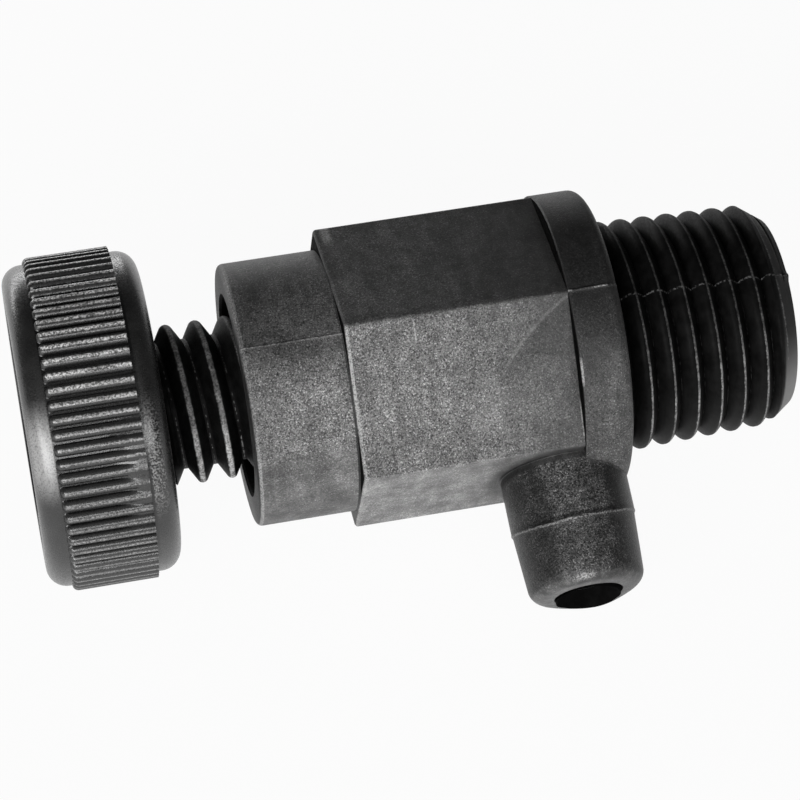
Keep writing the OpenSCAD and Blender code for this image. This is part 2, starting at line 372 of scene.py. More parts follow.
def pipe_root(x):
    """Root radius of the taper thread."""
    return NIPPLE_TIP_R - PIPE_DEPTH + (NIPPLE_END - x) * PIPE_TAPER


def pipe_radius(station, x, angle):
    """Surface of the nipple: round crests, V roots, a plain run-out and a chamfered end."""
    height = np.abs(np.cos(station / PIPE_PITCH * math.pi)) ** 0.85
    burr = flash_line(angle, PIPE_BURR_DEG) * (1 - 0.8 * height) * PIPE_BURR
    thread = pipe_root(x) + PIPE_DEPTH * height + burr - PIPE_OFFSET * far_half(angle)
    run_out = pipe_root(x) - 0.02 + PIPE_DEPTH * np.clip((x - RUN_OUT_FROM) / RUN_OUT_LENGTH, 0, 1)
    nub = NUB_H * flash_line(angle, NUB_DEG) * smooth_step(x, NIPPLE_END - 0.7, NIPPLE_END - 0.3)
    chamfer = NIPPLE_TIP_R - CHAMFER_DEPTH + (NIPPLE_END - x) * CHAMFER_SLOPE + nub
    return np.minimum(np.minimum(thread, run_out), chamfer)


def from_crest(station):
    """Distance of a place across the stem thread's pitch from the nearest crest."""
    return np.abs((station + STEM_PITCH / 2) % STEM_PITCH - STEM_PITCH / 2)


def stem_height(station, crest):
    """Height from 0 to 1 of the stem thread, flat on crests of the given width."""
    return np.clip(1 - (from_crest(station) - crest / 2) / STEM_FLANK, 0, 1)


def rounded_crest(station):
    """A limit to the stem thread's height that rounds its crests."""
    return 1 - 0.16 * np.clip(from_crest(station) / (STEM_CREST / 2 + 0.1), 0, 1) ** 2


def stem_stations(crest):
    """Places across one pitch with extra ones at the crest's and the root's edges."""
    edge = crest / 2
    foot = edge + STEM_FLANK
    half = [0.0, edge - 0.05, edge, edge + 0.06, edge + STEM_FLANK / 2, foot - 0.08, foot, foot + 0.08]
    rest = [STEM_PITCH - h for h in reversed(half[1:])]
    return sorted(set(round(s, 5) for s in half + rest))


def stem_tap(x_from, x_to):
    """The body's own thread as a cutting shape, wider than the stem's by the gap all round."""
    crest = STEM_CREST + 2 * THREAD_GAP / math.cos(FLANK_ANGLE) - 2 * THREAD_GAP * math.tan(FLANK_ANGLE)
    root = STEM_R - STEM_DEPTH + THREAD_GAP

    def radius(station, x, angle):
        fade = np.clip((x_to - x) / THREAD_LEAD_OUT, 0, 1)
        return root + STEM_DEPTH * stem_height(station, crest) * fade

    return helix("tap", stem_stations(crest), STEM_PITCH, STEM_CREST_X, x_from, x_to, root, radius,
                 even_angles(72))


# The body

def parting_bulge(burr, play, offset, fast, slow):
    """The bulge of a turned form at its parting lines: an uneven burr, and the far mould half set back."""
    def bulge(x, angle):
        line = burr + play * wobble(x * fast, x * slow)
        return line * flash_line(angle, BURR_DEG) - offset * far_half(angle)

    return bulge


def make_neck():
    outline = [(NECK_END, MOUTH_R - NECK_ROUND), (NECK_END, NECK_R - NECK_ROUND)]
    outline += arc(NECK_END + NECK_ROUND, NECK_R - NECK_ROUND, NECK_ROUND, 180, 90, 5)[1:]
    outline += [(x, NECK_R) for x in np.linspace(NECK_END + 1.0, COLLAR_BACK + OVER, 24)]
    bulge = parting_bulge(NECK_BURR, 0.015, NECK_OFFSET, 3.1, 1.7)
    return lathe("neck", outline, parting_angles(144), bulge)


def hex_ring(x, half, lean=0.0):
    """One ring of the hex; lean carries the corners of the far mould half back along the axis."""
    points = []
    for k in range(6):
        turned = math.radians(30 + 60 * k)
        corner = SPOUT_ANGLE + turned
        place = np.array([x - (lean if math.cos(turned) < -0.5 else 0), 0, 0])
        centre = towards(corner) * (half - HEX_CORNER_R) / math.cos(math.radians(30))
        for turn in np.radians(np.linspace(-30, 30, 7)):
            points.append(centre + towards(corner + turn) * HEX_CORNER_R + place)
    return points


def make_hex():
    edge = arc(HEX_BACK + HEX_EDGE, HEX_HALF - HEX_EDGE, HEX_EDGE, 180, 90, 5)
    rings = [hex_ring(x, half, HEX_LEAN) for x, half in edge]
    rings += [hex_ring(x, HEX_HALF) for x in (HEX_BACK + 6, COLLAR_BACK + OVER)]
    return from_rings("hex", rings)


def make_collar():
    inner = NECK_R - 1
    outline = [(COLLAR_BACK, inner), (COLLAR_BACK, COLLAR_R - COLLAR_EDGE)]
    outline += [(COLLAR_BACK + COLLAR_EDGE, COLLAR_R)]
    outline += [(x, COLLAR_R) for x in np.linspace(COLLAR_BACK + 0.5, -COLLAR_ROUND, 8)]
    outline += arc(-COLLAR_ROUND, COLLAR_R - COLLAR_ROUND, COLLAR_ROUND, 90, 0, 8)[1:]
    outline += [(0, inner)]
    bulge = parting_bulge(COLLAR_BURR, 0.06, COLLAR_OFFSET, 5.3, 2.9)
    return lathe("collar", outline, parting_angles(168), bulge)


def make_nipple():
    stations = np.linspace(0, PIPE_PITCH, 16, endpoint=False)
    past = 2 * END_FADE
    nipple = helix("nipple", stations, PIPE_PITCH, PIPE_CREST_X, -past, NIPPLE_END + past,
                   NIPPLE_TIP_R - PIPE_DEPTH, pipe_radius, parting_angles(132))
    return join(nipple, (), (bore(NIPPLE_END, NIPPLE_END + 2 * past, COLLAR_R),))


def spout_lathe(name, outline, steps, bulge=None, shift=None, offset=(0, 0, 0)):
    """A turned solid about the spout's axis."""
    made = lathe(name, outline, even_angles(steps), bulge, shift)
    along = Vector(towards(SPOUT_ANGLE))
    side = Vector((1, 0, 0))
    turn = Matrix((along, side, along.cross(side))).transposed().to_4x4()
    place = Matrix.Translation(Vector((SPOUT_X, 0, 0)) * MM) @ turn
    made.data.transform(place @ Matrix.Translation(Vector(offset) * MM))
    return made


def make_spout():
    root_r = SPOUT_R + SPOUT_FLARE
    outline = [(CHAMBER_R - 0.2, SPOUT_R), (HEX_HALF - 0.4, root_r), (HEX_HALF, root_r)]
    outline += arc(HEX_HALF + SPOUT_FLARE, root_r, SPOUT_FLARE, 190, 270, 6)
    outline += [(x, SPOUT_R) for x in np.linspace(HEX_HALF + 1.0, SPOUT_STEP - 0.3, 6)]
    step_r = SPOUT_R + SPOUT_STEP_H
    outline += [(SPOUT_STEP - 0.12, SPOUT_R), (SPOUT_STEP - 0.05, step_r), (SPOUT_STEP, step_r)]
    outline += [(SPOUT_STEP + 0.07, SPOUT_R - SPOUT_STEP_DROP / 2)]
    lead = SPOUT_STEP + 0.2
    lead_r = SPOUT_R - SPOUT_STEP_DROP
    shoulder = SPOUT_REACH - SPOUT_ROUND
    slope = (lead_r - SPOUT_TIP_R) / (shoulder - lead)
    outline += [(x, lead_r - slope * (x - lead)) for x in np.linspace(lead, shoulder, 10)[:-1]]
    outline += arc(shoulder, SPOUT_TIP_R - SPOUT_ROUND, SPOUT_ROUND, 90, 0, 10)

    def shift(x, angle):
        """Tilts the step and slants the lip."""
        rise = smooth_step(x, HEX_HALF + 0.8, SPOUT_STEP - 0.3)
        fall = 1 - smooth_step(x, SPOUT_STEP + 0.3, shoulder - 0.3)
        tilt = -SPOUT_STEP_TILT * np.cos(angle) - SPOUT_STEP_SWAY * np.sin(angle)
        slant = SPOUT_LIP_SLANT * hump(angle_gap(angle, SPOUT_LOW_ANGLE), 0.6) - 0.04
        slant = slant * smooth_step(x, SPOUT_REACH - 1.6, SPOUT_REACH)
        return rise * fall * (tilt + 0.05 * wobble(angle * 5, angle * 9)) + slant

    return spout_lathe("spout", outline, 120, shift=shift)


def spout_bore():
    outline = [(0, PORT_R), (SPOUT_BORE_FLOOR, PORT_R), (SPOUT_BORE_FLOOR, SPOUT_BORE_R)]
    outline += [(SPOUT_REACH - 0.25, SPOUT_BORE_R), (SPOUT_REACH, SPOUT_BORE_R + 0.04)]
    outline += [(SPOUT_REACH + 0.3, SPOUT_BORE_R + 0.1)]
    return spout_lathe("outlet", outline, 72)


def spout_tear():
    """The mouth of the spout is broken out unevenly on its lower side."""
    def torn(x, angle):
        return 0.05 * wobble(angle * 3, angle * 7) * smooth_step(x, SPOUT_REACH - 0.8, SPOUT_REACH)

    outline = [(SPOUT_REACH - 0.9, SPOUT_BORE_R - 0.75), (SPOUT_REACH - 0.3, SPOUT_BORE_R - 0.2)]
    outline += [(SPOUT_REACH + 0.5, SPOUT_BORE_R + 0.2)]
    return spout_lathe("tear", outline, 72, torn, offset=TEAR_OFFSET)


def make_body():
    body = make_neck()
    body.name = "valve_body_moulding"
    mouth_bend = NECK_END + MOUTH_DEPTH / 2
    mouth_out = MOUTH_R + MOUTH_EDGE
    mouth = lathe("mouth", [(NECK_END - OVER, mouth_out), (NECK_END, mouth_out),
                            (NECK_END + MOUTH_EDGE, MOUTH_R), (mouth_bend, MOUTH_R),
                            (NECK_END + MOUTH_DEPTH, STEM_R + 3 * THREAD_GAP)], even_angles(96))
    chamber = lathe("chamber", [(CHAMBER_BACK - OVER, CHAMBER_R), (CHAMBER_FLOOR, CHAMBER_R),
                                (CHAMBER_FLOOR, SEAT_LIP_R), (SEAT, SEAT_LIP_R), (SEAT, BORE_R),
                                (NIPPLE_END - BORE_EDGE, BORE_R), (NIPPLE_END, BORE_R + BORE_EDGE),
                                (NIPPLE_END + OVER, BORE_R + 2 * BORE_EDGE)], even_angles(96))
    tap = stem_tap((NECK_END + mouth_bend) / 2, CHAMBER_BACK)
    return join(body, (make_hex(), make_collar(), make_nipple(), make_spout()),
                (mouth, tap, chamber, spout_bore(), spout_tear()))


# The knob

def ridge_angles():
    """Angles round the knob, closer together at the feet of the ridges."""
    across = RIDGE_HALF * np.sin(np.radians(np.linspace(-90, 90, 11)))
    share = np.arange(RIDGES)[:, None] + np.append(across, 0.5)[None, :]
    return np.sort((share * 2 * math.pi / RIDGES).ravel() % (2 * math.pi))


def knob_bulge(x, angle):
    """The ridged band: half-sunk rods, round at their outer ends, cut off on the body side, smeared once."""
    place = (angle / (2 * math.pi) * RIDGES + 0.5) % 1 - 0.5
    end = np.clip((BAND_FROM + RIDGE_H - x) / RIDGE_H, 0, None)
    rod = np.sqrt(np.clip(1 - (place / RIDGE_HALF) ** 2 - end ** 2, 0, 1))
    smear_from = BAND_TO - 1.7 + 0.4 * wobble(angle * 9, angle * 23)
    smear = hump(angle_gap(angle, SMEAR_ANGLE), SMEAR_SPREAD)
    smear = smear * smooth_step(x, smear_from, smear_from + 0.9)
    height = np.maximum(rod * (1 - 0.12 * smear), 0.8 * smear)
    return np.where(x < BAND_TO, RIDGE_H * height, 0.0)


def make_knob_shell():
    tiny = 0.01
    outline = [(KNOB_OUT, DISH_R - 1)]
    outline += arc(KNOB_OUT + RIM_ROUND, RIM_R - RIM_ROUND, RIM_ROUND, 180, 90, 10)
    outline += [(BAND_FROM - tiny, RIM_R)]
    outline += [(BAND_FROM + RIDGE_H * (1 - math.cos(t)), RIM_R) for t in np.radians(np.linspace(5, 90, 6))]
    outline += [(x, RIM_R) for x in np.linspace(BAND_FROM + 0.8, BAND_TO - tiny, 12)]
    outline += [(BAND_TO + tiny, RIM_R)]
    outline += arc(KNOB_FACE - RIM_ROUND, RIM_R - RIM_ROUND, RIM_ROUND, 90, 0, 10)
    outline += [(KNOB_FACE, HUB_R)]
    return lathe("knob_moulding", outline, ridge_angles(), knob_bulge)


def rib_pocket(k, floor):
    """A cutting shape between two ribs, whose sides keep the rib's thickness."""
    half_turn = math.pi / RIBS
    middle = (2 * k + 1) * half_turn

    def edges(r):
        reach = half_turn - math.asin(RIB_T / 2 / r)
        return [towards(a) * r for a in np.linspace(middle - reach, middle + reach, 16)]

    outline = edges(CORING_R) + edges(HUB_R)[::-1]
    ends = (floor, KNOB_FACE + OVER)
    return from_rings("pocket", [[p + np.array([x, 0, 0]) for p in outline] for x in ends])


def make_knob():
    knob = make_knob_shell()
    floor = KNOB_FACE - CORING_DEPTH
    pockets = [rib_pocket(k, floor) for k in range(RIBS)]
    over_ribs = bore(KNOB_FACE - RIM_ROUND / 2, KNOB_FACE + OVER, CORING_R, 120)
    hub = lathe("hub", [(floor - OVER, HUB_R), (KNOB_FACE - HUB_EDGE, HUB_R), (KNOB_FACE, HUB_R - HUB_EDGE)],
                even_angles(96))
    dish_out = DISH_R + DISH_EDGE
    dish = lathe("dish", [(KNOB_OUT - OVER, dish_out), (KNOB_OUT, dish_out), (KNOB_OUT + DISH_EDGE, DISH_R),
                          (KNOB_OUT + DISH_DEPTH, DISH_R - 0.15)], even_angles(144))
    pocket = bore(KNOB_OUT - OVER, POCKET_FLOOR, POCKET_R)
    hole = bore(POCKET_FLOOR - OVER, KNOB_FACE, SCREW_R)
    half = SOCKET_W / 2
    socket = block("socket", (stem_low.x - SOCKET_GAP, -half, -half), (KNOB_FACE + OVER, half, half))
    join(knob, (), (*pockets, over_ribs))
    return join(knob, (hub,), (dish, pocket, hole, socket))


def make_cap():
    outline = [(cap_low.x, 0.6)]
    outline += arc(cap_low.x + CAP_ROUND, cap_high.z - CAP_ROUND, CAP_ROUND, 180, 90, 5)
    outline += [(cap_high.x - CAP_EDGE, cap_high.z), (cap_high.x, cap_high.z - CAP_EDGE)]
    notch = block("notch", (cap_low.x - OVER, -NOTCH_HALF, cap_high.z - NOTCH_IN),
                  (cap_low.x + NOTCH_DEPTH, NOTCH_HALF, cap_high.z + OVER))
    return join(lathe("knob_cap_disc", outline, even_angles(120)), (), (notch,))


# The stem

def make_stem():
    thread_back = KNOB_FACE + RELIEF_LENGTH
    root = STEM_R - STEM_DEPTH

    def radius(station, x, angle):
        height = np.minimum(stem_height(station, STEM_CREST), rounded_crest(station))
        lead_in = np.clip((x - thread_back) / THREAD_LEAD_IN, 0, 1)
        lead_out = np.clip((THREAD_FRONT - x) / THREAD_LEAD_OUT, 0, 1)
        return root + STEM_DEPTH * height * (lead_in * lead_out)

    stem = helix("stem_moulding", stem_stations(STEM_CREST), STEM_PITCH, STEM_CREST_X,
                 thread_back, THREAD_FRONT, root, radius, even_angles(96))
    groove_back = RING_X - GROOVE_W / 2
    groove_front = RING_X + GROOVE_W / 2
    shank = lathe("shank", [(THREAD_FRONT - OVER, SHANK_R), (groove_back, SHANK_R), (groove_back, GROOVE_R),
                            (groove_front, GROOVE_R), (groove_front, SHANK_R),
                            (stem_high.x - SHANK_EDGE, SHANK_R),
                            (stem_high.x, SHANK_R - SHANK_EDGE)], even_angles(96))
    relief = bore(KNOB_FACE, thread_back + OVER, RELIEF_R)
    half = HEAD_W / 2
    head = block("head", (stem_low.x, -half, -half), (KNOB_FACE + OVER / 2, half, half))
    bead_front = PIN_END + PIN_GAP
    pin_hole = lathe("pin_hole", [(BEAD_END - PIN_GAP, BEAD_R), (bead_front, BEAD_R), (bead_front, PIN_R),
                                  (stem_high.x + OVER, PIN_R)], even_angles(64))
    screw_hole = bore(stem_low.x - OVER, SCREW_END, SCREW_R, 64)
    return join(stem, (shank, relief, head), (pin_hole, screw_hole))


# Materials

class Shader:
    """A material's node tree with short calls for the nodes that the finishes share."""

    def __init__(self, name):
        self.material = bpy.data.materials.new(name)
        self.material.use_nodes = True
        self.tree = self.material.node_tree
        self.surface = self.tree.nodes["Principled BSDF"]

    @cached_property
    def place(self):
        """The place on the valve, in millimetres."""
        return self.vector("MULTIPLY", self.node("ShaderNodeTexCoord").outputs["Object"], (1 / MM,) * 3)

    def node(self, kind, **settings):
        made = self.tree.nodes.new(kind)
        for key, value in settings.items():
            setattr(made, key, value)
        return made

    def link(self, source, target):
        self.tree.links.new(source, target)

    def vector(self, operation, source, constant):
        made = self.node("ShaderNodeVectorMath", operation=operation)
        self.link(source, made.inputs[0])
        made.inputs[1].default_value = constant
        return made.outputs["Value" if operation == "DOT_PRODUCT" else "Vector"]

    def math(self, operation, first, second=0.0):
        made = self.node("ShaderNodeMath", operation=operation)
        for slot, value in zip(made.inputs, (first, second)):
            if isinstance(value, (int, float)):
                slot.default_value = value
            else:
                self.link(value, slot)
        return made.outputs[0]

    def fold(self, operation, values):
        made = values[0]
        for value in values[1:]:
            made = self.math(operation, made, value)
        return made

    def add(self, *values):
        return self.fold("ADD", values)

    def times(self, *values):
        return self.fold("MULTIPLY", values)

    def most(self, *values):
        return self.fold("MAXIMUM", values)

    def other(self, mask):
        """The mask's opposite."""
        return self.math("SUBTRACT", 1.0, mask)

    def remap(self, value, low, high, to_low, to_high):
        made = self.node("ShaderNodeMapRange", interpolation_type="SMOOTHSTEP")
        for key, number in (("From Min", low), ("From Max", high), ("To Min", to_low), ("To Max", to_high)):
            made.inputs[key].default_value = number
        self.link(value, made.inputs["Value"])
        return made.outputs["Result"]

    def above(self, value, low, soft):
        """0 where a value is below low, rising to 1 over the soft width."""
        return self.remap(value, low, low + soft, 0.0, 1.0)

    def below(self, value, low, soft):
        """1 where a value is below low, falling to 0 over the soft width."""
        return self.remap(value, low, low + soft, 1.0, 0.0)

    def gap(self, value, middle):
        return self.math("ABSOLUTE", self.add(value, -middle))

    def band(self, value, middle, half, soft):
        """1 where a value lies within half of the middle, falling to 0 over the soft width."""
        return self.below(self.gap(value, middle), half, soft)

    def hypot(self, first, second):
        return self.math("SQRT", self.add(self.times(first, first), self.times(second, second)))

    def scaled(self, value, *places):
        """A value times the share that is given with each place's mask, where that mask is 1."""
        for mask, share in places:
            value = self.times(value, self.remap(mask, 0, 1, 1.0, share))
        return value

    def mix_value(self, factor, first, second):
        """First where the factor is 0, second where it is 1."""
        return self.add(self.times(self.other(factor), first), self.times(factor, second))

    def mix_colour(self, factor, first, second):
        made = self.node("ShaderNodeMix", data_type="RGBA")
        slots = [s for s in made.inputs if s.type == "RGBA"]
        for slot, value in zip(slots, (first, second)):
            if isinstance(value, tuple):
                slot.default_value = (*value, 1)
            else:
                self.link(value, slot)
        self.link(factor, made.inputs["Factor"])
        return next(s for s in made.outputs if s.type == "RGBA")

    def noise(self, scale, detail, roughness=0.5, stretch=None):
        made = self.node("ShaderNodeTexNoise")
        for key, value in (("Scale", scale), ("Detail", detail), ("Roughness", roughness)):
            made.inputs[key].default_value = value
        source = self.vector("MULTIPLY", self.place, stretch) if stretch else self.place
        self.link(source, made.inputs["Vector"])
        return made.outputs["Fac"]

    def along(self, direction):
        """Distance of the surface along a direction, in millimetres."""
        return self.vector("DOT_PRODUCT", self.place, direction)

    def turned(self, degrees):
        """Distance along the spout's direction turned up round the valve's axis, in millimetres."""
        return self.along(tuple(towards(SPOUT_ANGLE - math.radians(degrees))))

    def radius(self):
        """Distance of the surface from the valve's axis, in millimetres."""
        return self.hypot(self.along((0, 1, 0)), self.along((0, 0, 1)))

    def turn(self):
        """Turn about the axis from 0 at the bottom, as a share of a whole turn."""
        angle = self.math("ARCTAN2", self.along((0, 1, 0)), self.along((0, 0, -1)))
        return self.math("DIVIDE", angle, 2 * math.pi)

    def coat(self, base, rough, shine, height=None, depth=0.0):
        """Joins colour, roughness, shine and a relief of some depth into the surface."""
        self.link(base, self.surface.inputs["Base Color"])
        self.link(rough, self.surface.inputs["Roughness"])
        self.surface.inputs["Specular IOR Level"].default_value = shine
        if height is not None:
            bump = self.node("ShaderNodeBump")
            bump.inputs["Distance"].default_value = depth * MM
            self.link(height, bump.inputs["Height"])
            self.link(bump.outputs["Normal"], self.surface.inputs["Normal"])
        return self.material


# Tones of the mouldings, and the body's flow mark in millimetres
BODY_TONE = 0.15
TONE_RANGE = 5.0
RUBBED_AND_HIGHLIGHT_TONE = 0.45
PAINTED_SHADE_TONE = 0.002
PIPE_TONE = 0.003
STEM_TONE = 0.004
STEM_LINE_WEAR_AND_HIGHLIGHT_TONE = 0.9
FLOW_X = 3.1
FLOW_UP = -6.6
FLOW_R = 12.4


def grey(value):
    """A grey with a trace of warmth."""
    return (value, value * 0.995, value * 0.99)


def body_shader():
    """The body's shader with the places and masks that its marks share; a mask is 1 on the part it names."""
    s = Shader("body_plastic_grain")

    # Places: along the axis, upright, out along the spout, up the front flat and up across the spout
    s.x = s.along((1, 0, 0))
    s.z = s.along((0, 0, 1))
    s.out = s.turned(0)
    s.up = s.turned(150)
    s.spout_up = s.turned(90)
    s.around = s.radius()
    spout_x = s.add(s.x, -SPOUT_X)
    s.off_axis = s.hypot(spout_x, s.spout_up)

    # Uneven values, with the reach along the spout counted square to its tilted step
    s.fine = s.noise(9.5, 2.0, 0.7)
    s.mottle = s.noise(0.45, 4.0, 0.6)
    stray = s.add(s.mottle, -0.5)
    s.drift = s.add(s.x, s.times(stray, 7.0))
    s.step_out = s.add(s.out, s.times(s.spout_up, -SPOUT_STEP_TILT / SPOUT_R),
                       s.times(spout_x, SPOUT_STEP_SWAY / SPOUT_R), s.times(stray, 0.2))

    # Masks
    s.on_neck = s.below(s.x, HEX_BACK - 0.02, 0.04)
    s.on_collar = s.times(s.above(s.x, COLLAR_BACK - 0.03, 0.06), s.below(s.around, COLLAR_R + 0.15, 0.1))
    off_collar = s.other(s.on_collar)
    s.on_spout = s.times(s.below(s.off_axis, SPOUT_R + 0.2, 0.1), off_collar,
                         s.above(s.out, HEX_HALF - 0.5, 0.1))
    s.off_spout = s.other(s.on_spout)
    s.near_half = s.mix_value(s.most(s.on_neck, s.on_collar), s.above(s.out, -0.5, 1.0),
                              s.above(s.out, -2.0, 6.6))
    s.far_half = s.other(s.near_half)
    s.on_lip = s.times(s.on_spout, s.above(s.out, SPOUT_REACH - 0.52, 0.22))
    s.spout_root = s.times(s.on_spout, s.below(s.out, HEX_HALF + 0.28, 0.14))
    on_hex = s.times(off_collar, s.other(s.on_neck))
    s.top_flat = s.times(on_hex, s.above(s.turned(120), HEX_HALF - 0.15, 0.1))
    s.front_flat = s.times(on_hex, s.below(s.out, HEX_HALF - 0.2, 0.1), s.off_spout, s.near_half)
    s.lower_flat = s.times(on_hex, s.above(s.out, HEX_HALF - 0.12, 0.1), s.off_spout)
    s.low_neck = s.times(s.on_neck, s.below(s.up, -4.5, 4.0))
    return s


def body_tone(s):
    """Tone of the moulding: lighter towards the knob, darker on the collar, the spout and the far half,
    mostly as painted shade, with a painted reflection on the lower flat and a painted highlight on the lip.
    """
    streak = s.noise(1.0, 3.0, 0.6, (1.1, 0.22, 0.22))
    blotch = s.remap(s.noise(1.5, 3.0, 0.65), 0.34, 0.66, -0.5, 0.5)
    blotch = s.add(s.times(blotch, s.remap(s.on_spout, 0, 1, 0.35, 0.9)), 1.0)
    # Painted shade: the collar darkens towards its upper side.
    collar_shade = s.mix_value(s.on_collar, 1.0, s.remap(s.out, 0.2, 6.8, 0.38, 1.0))
    # Painted shade on the spout's sides, with its middle lightened.
    aside = s.gap(s.x, SPOUT_X + 0.1)
    spout_side_shade = s.mix_value(s.math("SUBTRACT", s.on_spout, s.on_lip), 1.0, s.remap(aside, 1.0, 2.5, 1.2, 0.32))
    shaded = s.times(s.above(s.x, -7.0, 4.5), s.above(s.up, -2.0, 5.0), s.near_half)
    # Painted shade on the lower flat beside the spout.
    shade_beside_spout = s.times(s.lower_flat, s.below(s.off_axis, SPOUT_R, 1.7))
    spout_end = s.times(s.on_spout, s.above(s.out, SPOUT_STEP + 0.5, 1.0))
    tone = s.times(s.remap(s.drift, -13.0, -1.0, 1.08, 0.5), s.remap(s.mottle, 0.3, 0.7, 0.72, 1.28),
                   s.remap(streak, 0.35, 0.7, 0.85, 1.2), s.remap(s.x, NECK_END, HEX_BACK, 0.8, 1.0),
                   blotch, spout_side_shade, collar_shade)
    # Shares: the far mould half is darker, partly its own tone and partly painted shade on its upper side;
    # painted shade on the top flat, towards the collar, beside the spout, on the whole spout and at its
    # root; a painted floor reflection lights the lower flat; a painted highlight on the lip.
    return s.scaled(tone, (s.far_half, 0.42), (s.low_neck, 0.86), (s.top_flat, 0.78), (s.lower_flat, 1.55),
                    (shaded, 0.72), (shade_beside_spout, 0.3), (s.on_spout, 0.56), (s.spout_root, 0.55),
                    (spout_end, 0.86), (s.on_lip, 1.5))


def body_grain(s):
    """Fibre grain of light specks and dark pits, most on the spout, as a share of the tone and a relief."""
    specks = s.above(s.noise(12.0, 1.0), 0.6, 0.1)
    pits = s.below(s.noise(6.5, 2.0, 0.6), 0.36, 0.1)
    depth = s.scaled(s.remap(s.drift, -12.0, -2.0, 1.0, 0.6), (s.far_half, 0.7), (s.low_neck, 0.45),
                     (s.on_collar, 1.2), (s.lower_flat, 0.5), (s.on_spout, 1.9), (s.spout_root, 0.3),
                     (s.on_lip, 0.3))
    grain = s.add(s.remap(s.fine, 0.30, 0.70, -0.8, 0.8), s.times(specks, 2.4), s.times(pits, -0.55))
    height = s.add(s.fine, s.times(specks, 0.5), s.times(pits, -0.4))
    return s.most(s.add(s.times(grain, depth), 1.0), 0.12), s.times(height, depth)


def front_marks(s, tone):
    """Marks on the front flat: a curved flow mark with a painted highlight along its edge and painted shade
    inside, a light spot, and a short dent drawn as a line of painted shade.
    """
    flow_r = s.hypot(s.add(s.x, -FLOW_X), s.add(s.up, -FLOW_UP))
    # Painted highlight along the flow mark's edge, and painted shade inside it, as if the flat were sunk
    # there.
    edge = s.times(s.band(flow_r, FLOW_R + 0.05, 0.03, 0.12), s.above(s.up, 0.0, 1.5), s.front_flat)
    dark = s.times(s.above(flow_r, FLOW_R - 2.0, 1.9), s.below(flow_r, FLOW_R - 0.1, 0.1),
                   s.above(s.up, -1.0, 2.0), s.front_flat)
    spot = s.times(s.band(flow_r, FLOW_R + 0.1, 0.2, 1.0), s.band(s.up, -2.0, 0.2, 1.2), s.front_flat)
    # Painted shade: a thin dark line for a dent.
    dent_shade = s.times(s.band(s.x, HEX_BACK + 1.85, 0.02, 0.06), s.band(s.up, -2.9, 1.0, 0.5), s.front_flat)
    tone = s.add(s.scaled(tone, (dark, 0.72)), s.times(edge, 0.3), s.times(spot, 0.22))
    return s.scaled(tone, (dent_shade, 0.6))


def neck_end_painted_light(s):
    """The neck's end face is light at its top and its bottom only: a painted reflection lightens its top,
    and painted shade darkens it between.
    """
    end_face = s.below(s.x, NECK_END + 0.02, 0.18)
    # Painted reflection at the top; painted shade on the face between top and bottom.
    tone = s.mix_value(s.above(s.z, 5.5, 1.8), s.remap(s.z, -6.5, -4.0, 0.9, 0.22),
                       s.remap(s.around, NECK_R - 0.9, NECK_R, 1.56, 2.4))
    return s.mix_value(end_face, 1.0, tone)


def painted_step_shade(s):
    """Painted shade: the steps behind the hex and the collar are drawn dark."""
    collar = s.times(s.band(s.x, COLLAR_BACK, 0.02, 0.02), s.above(s.around, NECK_R, 0.1), s.off_spout)
    corner = s.times(s.band(s.x, HEX_BACK - 0.05, 0.06, 0.04), s.above(s.around, NECK_R - 0.2, 0.1), 0.85)
    return s.most(collar, s.scaled(corner, (s.far_half, 0.5)))


